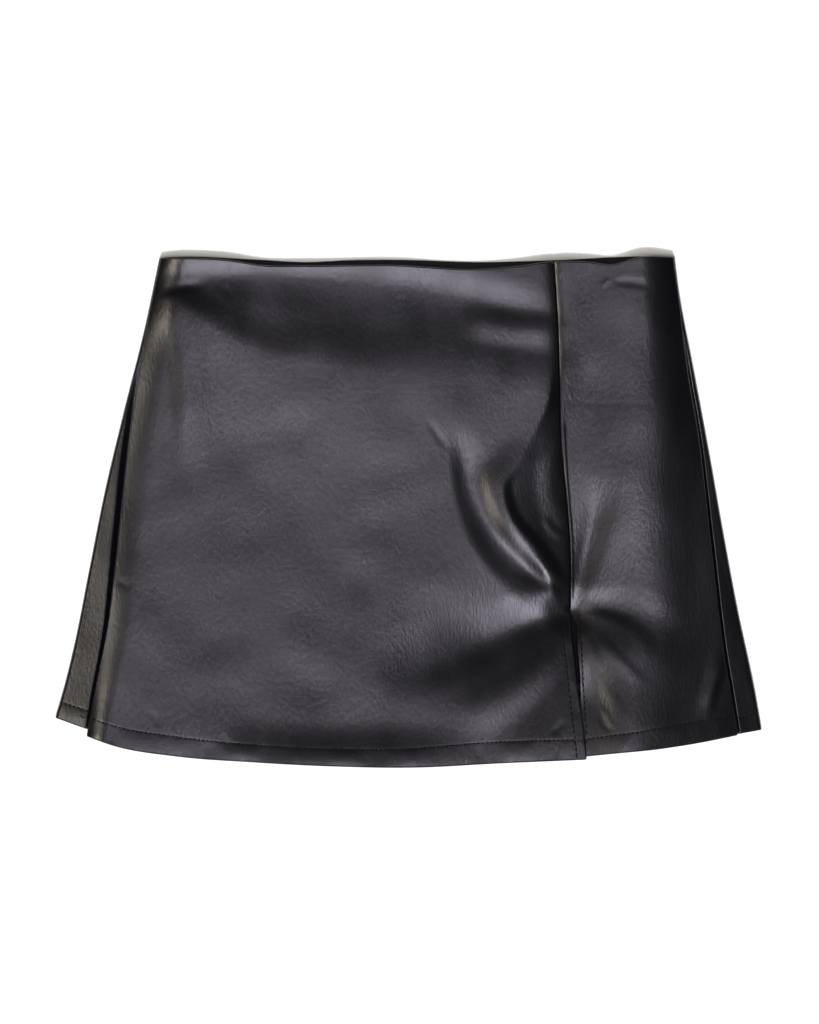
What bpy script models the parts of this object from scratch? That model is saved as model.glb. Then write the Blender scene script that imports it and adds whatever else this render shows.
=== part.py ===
"""A leather skort laid flat on its back: front up, waist toward +Y.

Lengths are millimetres until a mesh is made, which is in metres. The garment lies on z = 0, and the origin
is under the middle of its outline.
"""

from collections import namedtuple

import bmesh
import bpy
import numpy as np

MM = 0.001

# Cloth.
CLOTH = 1.1  # coated cloth
TURNED = 1.9  # the same, turned in once and pressed
TURN = 13.5  # depth of the turned waist and hem
SLIT_TURN = 9.0  # depth of the turned edge beside the slit
JERSEY = 1.0  # cloth of the shorts
GAP = 0.3  # between pieces that meet

# Heights of the laid garment.
FOLD_RADIUS = 2.4  # outside of the back, where it turns over to the front at each side
STRIP_RISE = 0.12  # how the turned-over strip climbs inward, in mm for each mm
STRIP_TUCK = 1.5  # how far the strip runs on below the front's edge
GROOVE_DEPTH = 2.8  # how far the strip dips where it meets the front
NARROW_STRIP = 12.0  # groove and tuck fade out where the strip is narrower than this
MIDDLE_TOP = 9.7  # outer face of the fronts, halfway down
END_RISE = 1.4  # they rise by this much toward the stiffer waist and hem
END_REACH = 170.0
SEAM_DIP = 0.8  # both fronts dip to the seam between them
SEAM_REACH = 3.0
SIDE_DIPS_ABOVE = 60.0
SIDE_DIPS_REACH = 40.0
TUCK_DEPTH = 2.4  # the side front's slit edge slips below the wide front toward the hem
TUCK_REACH = 40.0
SLIT_TOP = -67.2
TUCK_START = -106.0
TUCK_END = -132.0

# Shorts.
SHORTS_FLOOR = 1.6
SHORTS_SHARE = 0.36  # their upper side lies this share of the way from SHORTS_LOW to the skirt's front
SHORTS_LOW = 2.5
SHORTS_RADIUS = 1.85  # of their folded sides
SHORTS_CENTRE = 3.0
SHORTS_WAIST_AT = 90.0  # the shorts hang from the turned waist as it is this far from the middle
CROTCH = -80.0
SHORTS_HEM = -116.0
CROTCH_CURL = 12.0  # below the crotch the legs' inner edges curl together within this height
INSEAM_SPREAD = 0.3  # the legs part by this much for each mm below the crotch

# Outline curves. Side curves are rows of (y, x), hems and waists rows of (x, y).
LEFT_FOLD = (
    (171.5, -168.2), (122.5, -178.5), (68.5, -192.0), (14.5, -204.9),
    (-39.5, -215.7), (-93.5, -226.5), (-120.5, -233.2), (-139.0, -238.6),
)
RIGHT_FOLD = (
    (171.5, 179.8), (149.5, 182.6), (95.5, 192.7), (41.5, 202.8),
    (-12.5, 212.3), (-66.5, 222.4), (-120.5, 233.9), (-147.2, 238.6),
)
LEFT_SEAM = (
    (171.5, -167.2), (122.5, -177.3), (88.8, -182.6), (45.6, -188.7), (-19.2, -195.9),
    (-50.3, -199.5), (-73.2, -202.5), (-119.8, -211.6), (-151.5, -217.4),
)
RIGHT_SEAM = (
    (171.5, 178.8), (138.7, 183.4), (114.4, 186.0), (85.4, 190.0), (61.8, 194.2),
    (-20.0, 204.2), (-100.2, 214.0), (-125.9, 218.4), (-149.2, 222.0),
)
FRONT_SEAM = (
    (168.4, 97.9), (129.3, 100.4), (81.3, 101.9), (46.9, 102.9),
    (13.8, 106.0), (-14.5, 108.4), (-60.0, 109.2), (-67.2, 109.1),
)
WIDE_SLIT_EDGE = ((-72.0, 108.9), (-97.5, 111.7), (-131.3, 115.8), (-144.8, 117.8), (-167.1, 120.1))
SIDE_SLIT_EDGE = ((-73.2, 112.0), (-93.5, 113.7), (-107.0, 115.1), (-140.7, 115.8), (-164.4, 116.8))
WIDE_HEM = (
    (-217.4, -151.5), (-197.4, -158.3), (-156.9, -165.0), (-102.9, -169.1),
    (-48.9, -171.8), (5.1, -172.5), (59.1, -169.8), (120.1, -167.1),
)
SIDE_HEM = ((116.8, -165.3), (140.1, -163.0), (167.1, -160.3), (194.1, -156.3), (221.7, -150.9))
BACK_HEM = (
    (-238.6, -139.0), (-217.4, -146.5), (-156.9, -159.5), (-75.0, -166.5), (5.0, -168.8),
    (86.0, -165.5), (167.1, -157.8), (222.4, -150.0), (238.6, -147.1),
)
FRONT_WAIST = (
    (-168.4, 171.1), (-120.5, 169.2), (-98.9, 165.9), (-69.2, 165.5), (-12.5, 166.0), (49.6, 163.4),
    (75.3, 165.5), (97.5, 168.4), (121.2, 168.1), (137.4, 166.5), (156.3, 171.3), (179.2, 171.8),
)
BACK_WAIST = (
    (-169.1, 171.1), (-156.9, 171.8), (-102.9, 169.8), (-69.2, 168.1), (-40.2, 169.4),
    (-5.7, 169.6), (49.6, 168.1), (97.5, 169.4), (159.6, 172.0), (179.2, 171.8),
)
# Rows of (y, how far the shorts lie inside the skirt's side).
SHORTS_INSET = ((170.0, 9.0), (100.0, 12.0), (0.0, 18.0), (-116.0, 28.0))
# Rows of (y, height of the front at this edge).
LEFT_EDGE = ((-151.5, 7.8), (-60.0, 8.6), (90.0, 8.2), (171.5, 7.4))
RIGHT_EDGE = ((-149.2, 7.1), (-60.0, 7.3), (90.0, 7.4), (171.5, 7.5))
# Rows of (y, how far from this edge the front lies level).
LEFT_ROLL = ((-150.0, 14.0), (0.0, 18.0), (170.0, 18.0))
RIGHT_ROLL = ((-150.0, 48.0), (0.0, 34.0), (170.0, 22.0))
# Rows of (y, width of the groove between the strip and the front).
LEFT_GROOVE = ((-150.0, 1.8), (-100.0, 2.4), (-30.0, 4.6), (171.5, 4.6))
RIGHT_GROOVE = ((-150.0, 2.0), (171.5, 2.4))

# Main folds of the front. A path runs through (x, y) points. Heights and reaches are spread evenly along
# it, and the left reach is on the left hand of someone who walks the path. A fold fades out over a share of
# its length at each end. The lower its softness, the firmer the line where it begins.
Fold = namedtuple("Fold", "name path heights left_reach right_reach fade softness", defaults=(3.0,))
FOLDS = (
    Fold("pinch at the slit's top", ((108, -67), (110, -68)), (-1.4,), (22,), (22,), 0),
    Fold("hollow beside the seam",
         ((101.3, 100), (102.9, 47), (106.0, 14), (108.4, -14), (109.2, -60), (109.1, -72)),
         (-0.6, -1.4, -2.3, -2.5, -1.9, -1.0), (0.1,), (4, 15, 40, 43, 34, 17, 6), 0.15, 1.8),
    Fold("ridge round the hollow",
         ((103, 108), (99, 78), (93, 52), (84, 39), (72, 31),
          (64, 20), (65, 6), (72, -9), (84, -22), (107, -55)),
         (0.0, 0.2, 1.3, 0.9), (8,), (14,), 0.12),
    Fold("main trough", ((31, 58), (37, 38), (42, 14), (52, -9), (68, -29), (88, -45), (109, -58)),
         (-0.5, -0.8, -1.0, -1.2, -0.7), (16, 16, 13, 9, 7), (10, 12, 16, 20, 20), 0.25, 2.2),
    Fold("valley left of the slit", ((122, -62), (84, -73), (57, -85), (30, -96), (-30, -116)),
         (-1.1, -1.2, -0.9, -0.5), (9, 22, 26, 26), (10, 26, 36, 36), 0.35),
    Fold("ridge left of the slit", ((112, -60), (104, -84), (88, -106), (66, -124), (10, -152)),
         (0.4, 0.7, 0.7, 0.4), (8, 22, 30), (10, 24, 30), 0.35),
    Fold("valley right of the slit", ((102, -69), (128, -64), (156, -73), (184, -108)),
         (-0.4, -0.5, -0.2), (7, 24, 30), (5, 12, 16), 0.35),
    Fold("ridge right of the slit", ((114, -70), (123, -90), (135, -122), (156, -152)), (0.5, 0.6, 0.3),
         (6, 8), (6, 10), 0.35),
    Fold("valley above the slit", ((110, -72), (119, -32), (127, 2), (131, 28)), (-0.35, -0.5, -0.3),
         (5, 12, 16), (6, 16, 20), 0.35),
    Fold("dip below the waist", ((-200, 158), (-140, 158), (-70, 156), (0, 149), (60, 138), (124, 120)),
         (-0.4, -0.8, -1.0, -0.8, -0.4), (14, 20, 28, 26, 20), (10, 30, 50, 44, 26), 0.2),
    Fold("belly", ((-172, 152), (-142, 130), (-107, 110), (-50, 97), (20, 90), (124, 92)),
         (0.6, 0.9, 0.9, 0.6, 0.3), (14, 28, 38, 38, 24), (20, 80, 120, 100, 50), 0.08),
    Fold("edge of the belly", ((-162, 160), (-153, 110), (-148, 20)), (0.4, 0.6, 0.4), (30,), (14,), 0.4),
    Fold("roll below the waist", ((30, 130), (62, 125), (112, 120)), (0.5,), (16,), (18,), 0.3),
    Fold("broad dip across the slit's top", ((-10, -104), (50, -84), (110, -68), (160, -66), (205, -80)),
         (-1.2, -1.5, -1.4, -1.0), (60, 60, 120, 140), (56, 50, 40, 40), 0.3),
    Fold("rise from the slit's top to the hem", ((122, -240), (120, -168)), (2.6,), (96,), (96,), 0),
    Fold("swell before the right side", ((156, 200), (160, 60), (158, -60), (162, -220)),
         (1.2, 1.6, 1.8, 1.2), (50,), (56,), 0),
)

Material = namedtuple("Material", "name color roughness")
LEATHER = Material("black coated leather", (0.012, 0.012, 0.014, 1.0), 0.38)
LINING = Material("black jersey", (0.010, 0.010, 0.011, 1.0), 0.90)


def curve_through(rows):
    """A smooth function through rows of (place, value), level with its last value beyond each end."""
    place, value = np.array(sorted(rows), float).T
    gap = np.diff(place)
    rise = np.diff(value) / gap
    inner = (rise[:-1] * gap[1:] + rise[1:] * gap[:-1]) / (gap[1:] + gap[:-1])
    slope = np.concatenate([rise[:1], inner, rise[-1:]])

    def value_at(where):
        where = np.clip(np.asarray(where, float), place[0], place[-1])
        i = np.clip(np.searchsorted(place, where, side="right") - 1, 0, len(gap) - 1)
        t = (where - place[i]) / gap[i]
        ends = (1 + 2 * t) * (1 - t) ** 2 * value[i] + t * t * (3 - 2 * t) * value[i + 1]
        leans = t * (1 - t) ** 2 * slope[i] + t * t * (t - 1) * slope[i + 1]
        return ends + gap[i] * leans

    return value_at


def smooth_step(t):
    t = np.clip(t, 0, 1)
    return t * t * (3 - 2 * t)


left_fold = curve_through(LEFT_FOLD)
right_fold = curve_through(RIGHT_FOLD)
left_seam = curve_through(LEFT_SEAM)
right_seam = curve_through(RIGHT_SEAM)
wide_edge = curve_through(FRONT_SEAM + WIDE_SLIT_EDGE)
side_edge = curve_through(FRONT_SEAM + SIDE_SLIT_EDGE)
wide_hem = curve_through(WIDE_HEM)
side_hem = curve_through(SIDE_HEM)
back_hem = curve_through(BACK_HEM)
front_waist = curve_through(FRONT_WAIST)
back_waist = curve_through(BACK_WAIST)
shorts_inset = curve_through(SHORTS_INSET)
left_roll = curve_through(LEFT_ROLL)
right_roll = curve_through(RIGHT_ROLL)
left_groove = curve_through(LEFT_GROOVE)
right_groove = curve_through(RIGHT_GROOVE)
left_top = curve_through(LEFT_EDGE)
right_top = curve_through(RIGHT_EDGE)


def path_points(path, count=40):
    """Points spread evenly along a smooth curve through a path."""
    path = np.array(path, float)
    steps = np.linalg.norm(np.diff(path, axis=0), axis=1)
    along = np.concatenate([[0], np.cumsum(steps)])
    even = np.linspace(0, along[-1], count)
    x, y = (curve_through(list(zip(along, path[:, k])))(even) for k in (0, 1))
    return np.stack([x, y], axis=1)


def from_path(x, y, path):
    """How far each (x, y) is from a path, positive on its left, and its share of the way along the path."""
    points = path_points(path)
    nearest = np.full(np.shape(x), np.inf)
    distance = np.zeros(np.shape(x))
    share = np.zeros(np.shape(x))
    for k, (start, end) in enumerate(zip(points[:-1], points[1:])):
        run = end - start
        across, along = x - start[0], y - start[1]
        t = np.clip((across * run[0] + along * run[1]) / (run @ run), 0, 1)
        away = np.hypot(across - t * run[0], along - t * run[1])
        side = np.where(run[0] * along - run[1] * across < 0, -1, 1)
        closer = away < nearest
        nearest = np.where(closer, away, nearest)
        distance = np.where(closer, away * side, distance)
        share = np.where(closer, (k + t) / (len(points) - 1), share)
    return distance, share


def spread(values, share):
    """A value read from a few that are spread evenly along a path."""
    if len(values) == 1:
        return np.full(np.shape(share), float(values[0]))
    return curve_through(list(zip(np.linspace(0, 1, len(values)), values)))(share)


def fold_height(x, y, fold):
    distance, share = from_path(x, y, fold.path)
    reach = np.where(distance > 0, spread(fold.left_reach, share), spread(fold.right_reach, share))
    q = np.clip(np.abs(distance) / reach, 0, 1)
    fade = smooth_step(np.minimum(share, 1 - share) / fold.fade) if fold.fade else 1
    return spread(fold.heights, share) * fade * (1 - q * q) ** fold.softness


def edge_drop(drop, distance, reach):
    """How far below its crown the front lies at this distance from an edge, given its drop at the edge."""
    return drop * (1 - np.clip(distance / reach, 0, 1)) ** 2


def seam_dip(x, y):
    """Both fronts dip to the seam between them, and lower down only the wide one does."""
    near = np.exp(-np.abs(x - wide_edge(y)) / SEAM_REACH)
    above_slit = smooth_step((y - SLIT_TOP) / SEAM_REACH)
    side_dips = smooth_step((y - SIDE_DIPS_ABOVE) / SIDE_DIPS_REACH)
    return SEAM_DIP * near * above_slit * np.where(x > wide_edge(y), side_dips, 1)


def front_top(x, y):
    """Height of the outer face of either front."""
    top = MIDDLE_TOP + END_RISE * (y / END_REACH) ** 2
    drops = (
        edge_drop(top - left_top(y), x - left_seam(y), left_roll(y)),
        edge_drop(top - right_top(y), right_seam(y) - x, right_roll(y)),
    )
    height = top - np.cbrt(sum(drop**3 for drop in drops))
    return height + sum(fold_height(x, y, fold) for fold in FOLDS) - seam_dip(x, y)


def slit_tuck(x, y):
    """How far the side front sinks beside the slit, to pass below the wide front's edge."""
    near = 1 - smooth_step((x - side_edge(y)) / TUCK_REACH)
    return TUCK_DEPTH * near * smooth_step((TUCK_START - y) / (TUCK_START - TUCK_END))


def skirt_top(x, y):
    """Height of the outer face of whichever front covers this point."""
    return front_top(x, y) - np.where(x < wide_edge(y), 0, slit_tuck(x, y))


SETTLING_ROUNDS = 6  # x and y depend on each other, and settle in a few rounds


def on_cloth(u, v, left, right, hem, waist):
    """The point at share u of the way across a piece and v of the way up it."""
    y = hem(np.zeros_like(u)) * (1 - v) + waist(np.zeros_like(u)) * v
    for _ in range(SETTLING_ROUNDS):
        x = left(y) * (1 - u) + right(y) * u
        y = hem(x) * (1 - v) + waist(x) * v
    return x, y


CROWDING = 0.12


def wide_front(u, v):
    """Columns crowd toward the slit, where the folds are."""
    u = u + CROWDING * np.sin(np.pi * u)
    x, y = on_cloth(u, v, left_seam, lambda y: wide_edge(y) - GAP / 2, wide_hem, front_waist)
    beside_slit = (wide_edge(y) - x < SLIT_TURN) & (y < SLIT_TOP)
    turned = (front_waist(x) - y < TURN) | (y - wide_hem(x) < TURN) | beside_slit
    return x, y, front_top(x, y), turned


def side_front(u, v):
    x, y = on_cloth(u, v, lambda y: side_edge(y) + GAP / 2, right_seam, side_hem, front_waist)
    beside_slit = (x - side_edge(y) < SLIT_TURN) & (y < SLIT_TOP)
    turned = (front_waist(x) - y < TURN) | (y - side_hem(x) < TURN) | beside_slit
    return x, y, front_top(x, y) - slit_tuck(x, y), turned


def strip_height(inward, width, groove_width):
    """Height of the strip that the back turns over to the front, at this distance inward from the side."""
    round_part = np.clip(inward / FOLD_RADIUS, 0, 1)
    arc = FOLD_RADIUS * (1 + np.sqrt(1 - (1 - round_part) ** 2))
    climb = STRIP_RISE * np.clip(inward - FOLD_RADIUS, 0, None)
    groove = GROOVE_DEPTH * smooth_step(1 - (width - inward) / groove_width)
    return arc + climb - groove * smooth_step(width / NARROW_STRIP)


STRIP_STEPS = 8
ARC_STEPS = 3
FLOOR_STEPS = 24
BACK_COLUMNS = 2 * (STRIP_STEPS + ARC_STEPS) + FLOOR_STEPS


def back(u, v):
    """The back runs round both sides: right strip, right fold, floor, left fold, left strip."""
    column = np.rint(u * BACK_COLUMNS).astype(int)
    half = BACK_COLUMNS // 2
    left_half = column > half
    from_edge = np.where(left_half, BACK_COLUMNS - column, column)
    side = np.where(left_half, -1, 1)

    def fold(y):
        return np.where(left_half, left_fold(y), right_fold(y))

    def width(y):
        return np.abs(fold(y) - np.where(left_half, left_seam(y), right_seam(y)))

    on_strip = np.clip(1 - from_edge / STRIP_STEPS, 0, 1) ** 2
    turn = np.clip((from_edge - STRIP_STEPS) / ARC_STEPS, 0, 1) * np.pi / 2
    on_floor = np.clip((from_edge - STRIP_STEPS - ARC_STEPS) / (half - STRIP_STEPS - ARC_STEPS), 0, 1)
    y = back_hem(np.zeros_like(u)) * (1 - v) + back_waist(np.zeros_like(u)) * v
    for _ in range(SETTLING_ROUNDS):
        tuck = STRIP_TUCK * smooth_step(width(y) / NARROW_STRIP)
        round_part = FOLD_RADIUS * (1 - np.cos(turn))
        inward = np.where(from_edge <= STRIP_STEPS, on_strip * (width(y) + tuck), round_part)
        x = fold(y) - side * inward
        x = x * (1 - on_floor) + (left_fold(y) + right_fold(y)) / 2 * on_floor
        y = back_hem(x) * (1 - v) + back_waist(x) * v
    under = FOLD_RADIUS * (1 - np.sin(turn))
    groove_width = np.where(left_half, left_groove(y), right_groove(y))
    z = np.where(from_edge <= STRIP_STEPS, strip_height(inward, width(y), groove_width), under)
    turned = (back_waist(x) - y < TURN) | (y - back_hem(x) < TURN)
    return x, y, z, turned


SEAM_STEPS = 3
SHEET_STEPS = 10
TURN_STEPS = 2
LEG_COLUMNS = 2 * (SEAM_STEPS + SHEET_STEPS + TURN_STEPS)


def leg(side):
    """One leg of the shorts, from its front centre edge round the side to its back centre edge."""
    outer = right_fold if side > 0 else left_fold

    def place(u, v):
        column = np.rint(u * LEG_COLUMNS).astype(int)
        column = column if side > 0 else LEG_COLUMNS - column
        from_edge = np.minimum(column, LEG_COLUMNS - column)
        above = np.where(column <= LEG_COLUMNS // 2, 1, -1)
        y = SHORTS_HEM * (1 - v) + (front_waist(np.full_like(u, side * SHORTS_WAIST_AT)) - TURN - GAP) * v
        curl = smooth_step((CROTCH - y) / CROTCH_CURL)
        inner = SHORTS_CENTRE + side * (GAP / 2 + INSEAM_SPREAD * np.clip(CROTCH - y, 0, None))
        edge = outer(y) - side * shorts_inset(y)
        bend = np.clip(1 - from_edge / SEAM_STEPS, 0, 1) * np.pi / 2 * curl
        flat_x = np.clip(from_edge / SEAM_STEPS, 0, 1) * SHORTS_RADIUS
        curled_x = SHORTS_RADIUS * (1 - np.sin(bend))
        seam_x = inner + side * (curled_x * curl + flat_x * (1 - curl))
        across = np.clip((from_edge - SEAM_STEPS) / SHEET_STEPS, 0, 1)
        sheet_x = (inner + side * SHORTS_RADIUS) * (1 - across) + (edge - side * SHORTS_RADIUS) * across
        turn = np.clip((from_edge - SEAM_STEPS - SHEET_STEPS) / TURN_STEPS, 0, 1) * np.pi / 2
        x = np.where(from_edge < SEAM_STEPS, seam_x, sheet_x + side * SHORTS_RADIUS * np.sin(turn))
        parted = GAP / 2 / SHORTS_RADIUS
        level = np.where(from_edge < SEAM_STEPS, parted + (1 - parted) * np.cos(bend), np.cos(turn))
        top = SHORTS_LOW + SHORTS_SHARE * (skirt_top(x, y) - SHORTS_LOW)
        z = SHORTS_FLOOR + (top - SHORTS_FLOOR) * (1 + above * level) / 2
        return x, y, z, np.zeros(np.shape(u), bool)

    return place


def material_of(spec):
    material = bpy.data.materials.get(spec.name) or bpy.data.materials.new(spec.name)
    material.use_nodes = True
    shader = material.node_tree.nodes["Principled BSDF"]
    shader.inputs["Base Color"].default_value = spec.color
    shader.inputs["Roughness"].default_value = spec.roughness
    shader.inputs["Metallic"].default_value = 0.0
    return material


def cloth_piece(name, place, columns, rows, spec, cloth, turned_cloth, collection, parent):
    """A grid of cloth put in place by place(u, v), with its thickness on the inner side."""
    shape = bmesh.new()
    bmesh.ops.create_grid(shape, x_segments=columns, y_segments=rows, size=0.5)
    shape.verts.ensure_lookup_table()
    flat = np.array([vertex.co[:2] for vertex in shape.verts]) + 0.5
    x, y, z, turned = place(flat[:, 0], flat[:, 1])
    for vertex, point in zip(shape.verts, np.stack([x, y, z], axis=1) * MM):
        vertex.co = point
    mesh = bpy.data.meshes.new(name)
    shape.to_mesh(mesh)
    shape.free()
    mesh.shade_smooth()
    piece = bpy.data.objects.new(name, mesh)
    collection.objects.link(piece)
    piece.parent = parent
    group = piece.vertex_groups.new(name="turned cloth")
    group.add(np.flatnonzero(turned).tolist(), 1.0, "REPLACE")
    wall = piece.modifiers.new("Cloth thickness", "SOLIDIFY")
    wall.thickness = turned_cloth * MM
    wall.offset = -1.0
    wall.use_even_offset = True
    wall.vertex_group = group.name
    wall.thickness_vertex_group = cloth / turned_cloth
    mesh.materials.append(material_of(spec))
    return piece


def main():
    for old in list(bpy.data.objects):
        bpy.data.objects.remove(old, do_unlink=True)
    collection = bpy.data.collections.new("Leather skort")
    bpy.context.scene.collection.children.link(collection)
    root = bpy.data.objects.new("Skort centre", None)
    collection.objects.link(root)
    leather = (LEATHER, CLOTH, TURNED, collection, root)
    jersey = (LINING, JERSEY, JERSEY, collection, root)
    cloth_piece("wide_front", wide_front, 34, 28, *leather)
    cloth_piece("side_front", side_front, 14, 28, *leather)
    cloth_piece("back", back, BACK_COLUMNS, 20, *leather)
    cloth_piece("shorts_left_leg", leg(-1), LEG_COLUMNS, 12, *jersey)
    cloth_piece("shorts_right_leg", leg(1), LEG_COLUMNS, 12, *jersey)


main()
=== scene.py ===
"""Looks of a black leather skort laid flat on its back, seen from straight above.

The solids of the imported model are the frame. Each one is replaced by a finer wall of nearly the same form,
with its creases, turned edges and stitching. Lengths are millimetres until a mesh is made, which is in metres.
"""

from collections import namedtuple

import bpy
import numpy as np
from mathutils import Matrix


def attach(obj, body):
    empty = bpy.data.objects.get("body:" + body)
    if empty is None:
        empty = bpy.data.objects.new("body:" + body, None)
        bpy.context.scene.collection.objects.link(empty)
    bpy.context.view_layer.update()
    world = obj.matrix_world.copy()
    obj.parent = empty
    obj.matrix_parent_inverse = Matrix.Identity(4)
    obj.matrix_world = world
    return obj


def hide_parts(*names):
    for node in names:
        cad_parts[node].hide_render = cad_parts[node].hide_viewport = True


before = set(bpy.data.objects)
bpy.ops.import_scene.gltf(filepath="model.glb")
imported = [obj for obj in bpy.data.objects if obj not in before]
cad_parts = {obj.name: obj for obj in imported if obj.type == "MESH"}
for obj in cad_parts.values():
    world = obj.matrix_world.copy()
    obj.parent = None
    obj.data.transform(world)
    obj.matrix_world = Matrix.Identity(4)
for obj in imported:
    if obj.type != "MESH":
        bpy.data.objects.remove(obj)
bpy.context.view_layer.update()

MM = 0.001

# Cloth.
CLOTH = 1.1  # coated cloth
TURNED = 1.9  # the same, turned in once and pressed
JERSEY = 0.9  # cloth of the shorts
GAP = 0.3  # between pieces that meet
TURN_PAST_STITCH = 1.2  # how far turned cloth runs past its stitching
WAIST_TURN = 13.5
SLIT_TURN = 7.0

# Heights of the laid garment.
MIDDLE_TOP = 9.7  # outer face of the fronts, halfway down
END_RISE = 1.4  # they rise by this much toward the stiffer waist and hem
END_REACH = 170.0
FOLD_RADIUS = 2.4  # outside of the back, where it turns over to the front at each side
STRIP_RISE = 0.12  # how the turned-over strip climbs inward, in mm for each mm
STRIP_TUCK = 1.5  # how far the strip runs on below the front's edge
GROOVE_DEPTH = 2.8  # how far the strip dips where it meets the front
NARROW_STRIP = 12.0  # groove and tuck fade out where the strip is narrower than this
SEAM_DIP = 0.8  # both fronts dip to the seam between them
SEAM_REACH = 3.0
SIDE_DIPS_ABOVE = 60.0
SIDE_DIPS_REACH = 40.0
TUCK_DEPTH = 2.4  # the side front's slit edge slips below the wide front toward the hem
TUCK_REACH = 40.0
SLIT_TOP = -67.2
TUCK_START = -90.0
TUCK_END = -132.0

# Shorts.
SHORTS_FLOOR = 1.6
SHORTS_SHARE = 0.36  # their upper side lies this share of the way from SHORTS_LOW to the skirt's front
SHORTS_LOW = 2.5
SHORTS_RADIUS = 1.85  # of their folded sides
SHORTS_CENTRE = 3.0
SHORTS_WAIST_AT = 90.0  # the shorts hang from the turned waist as it is this far from the middle
CROTCH = -80.0
SHORTS_HEM = -116.0
CROTCH_CURL = 12.0  # below the crotch the legs' inner edges curl together within this height
INSEAM_SPREAD = 0.3  # the legs part by this much for each mm below the crotch

# Outline curves. Side curves are rows of (y, x), hems and waists rows of (x, y).
LEFT_FOLD = (
    (171.5, -168.2), (122.5, -178.5), (68.5, -192.0), (14.5, -204.9),
    (-39.5, -215.7), (-93.5, -226.5), (-120.5, -233.2), (-139.0, -238.6),
)
RIGHT_FOLD = (
    (171.5, 179.8), (149.5, 182.6), (95.5, 192.7), (41.5, 202.8),
    (-12.5, 212.3), (-66.5, 222.4), (-120.5, 233.9), (-147.2, 238.6),
)
LEFT_SEAM = (
    (171.5, -167.2), (122.5, -177.3), (88.8, -182.6), (45.6, -188.7), (-19.2, -195.9),
    (-50.3, -199.5), (-73.2, -202.5), (-119.8, -211.6), (-151.5, -217.4),
)
RIGHT_SEAM = (
    (171.5, 178.8), (138.7, 183.4), (114.4, 186.0), (85.4, 190.0), (61.8, 194.2),
    (-20.0, 204.2), (-100.2, 214.0), (-125.9, 218.4), (-149.2, 222.0),
)
FRONT_SEAM = (
    (168.4, 97.9), (129.3, 100.4), (81.3, 101.9), (46.9, 102.9),
    (13.8, 106.0), (-14.5, 108.4), (-60.0, 109.2), (-67.2, 109.1),
)
WIDE_SLIT_EDGE = ((-72.0, 108.9), (-97.5, 111.7), (-131.3, 115.8), (-144.8, 117.8), (-167.1, 120.1))
SIDE_SLIT_EDGE = ((-73.2, 112.0), (-93.5, 113.7), (-107.0, 115.1), (-140.7, 115.8), (-164.4, 116.8))
WIDE_HEM = (
    (-217.4, -151.5), (-197.4, -158.3), (-156.9, -165.0), (-102.9, -169.1),
    (-48.9, -171.8), (5.1, -172.5), (59.1, -169.8), (120.1, -167.1),
)
SIDE_HEM = ((116.8, -165.3), (140.1, -163.0), (167.1, -160.3), (194.1, -156.3), (221.7, -150.9))
BACK_HEM = (
    (-238.6, -139.0), (-217.4, -146.5), (-156.9, -159.5), (-75.0, -166.5), (5.0, -168.8),
    (86.0, -165.5), (167.1, -157.8), (222.4, -150.0), (238.6, -147.1),
)
FRONT_WAIST = (
    (-168.4, 171.1), (-120.5, 169.2), (-98.9, 165.9), (-69.2, 165.5), (-12.5, 166.0), (49.6, 163.4),
    (75.3, 165.5), (97.5, 168.4), (121.2, 168.1), (137.4, 166.5), (156.3, 171.3), (179.2, 171.8),
)
BACK_WAIST = (
    (-169.1, 171.1), (-156.9, 171.8), (-102.9, 169.8), (-69.2, 168.1), (-40.2, 169.4),
    (-5.7, 169.6), (49.6, 168.1), (97.5, 169.4), (159.6, 172.0), (179.2, 171.8),
)
# Rows of (y, how far inside the skirt's side the shorts are).
SHORTS_INSET = ((170.0, 9.0), (100.0, 12.0), (0.0, 18.0), (-116.0, 28.0))
LEFT_EDGE = ((-151.5, 7.8), (-60.0, 8.6), (90.0, 8.2), (171.5, 7.4))  # (y, top of the front at this edge)
RIGHT_EDGE = ((-149.2, 7.1), (-60.0, 7.3), (90.0, 7.4), (171.5, 7.5))
LEFT_ROLL = ((-150.0, 14.0), (0.0, 18.0), (170.0, 18.0))  # (y, how far from this edge the front is level)
RIGHT_ROLL = ((-150.0, 48.0), (0.0, 34.0), (170.0, 22.0))
# Rows of (y, width of the groove between the strip and the front).
LEFT_GROOVE = ((-150.0, 1.8), (-100.0, 2.4), (-30.0, 4.6), (171.5, 4.6))
RIGHT_GROOVE = ((-150.0, 2.0), (171.5, 2.4))

# How far above each hem its stitching runs, rows of (x, distance).
WIDE_HEM_STITCH = ((-217.0, 13.0), (-170.0, 13.2), (-103.0, 11.4), (-22.0, 11.7), (43.0, 14.0), (120.0, 13.4))
SIDE_HEM_STITCH = ((116.8, 11.2), (150.9, 12.6), (181.9, 14.4), (221.7, 14.0))
BACK_HEM_STITCH = ((-238.6, 11.8), (-217.0, 12.2), (0.0, 13.0), (222.0, 10.4), (238.6, 11.7))
# Stitching beside the slit, rows of (y, x).
WIDE_SLIT_STITCH = (
    (-74.6, 103.6), (-83.4, 104.3), (-99.6, 106.2), (-111.0, 107.4), (-152.2, 112.1), (-167.0, 113.8),
)
SIDE_SLIT_STITCH = ((-73.2, 116.6), (-84.0, 116.6), (-100.9, 117.3), (-140.7, 119.5), (-165.0, 121.4))

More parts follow.
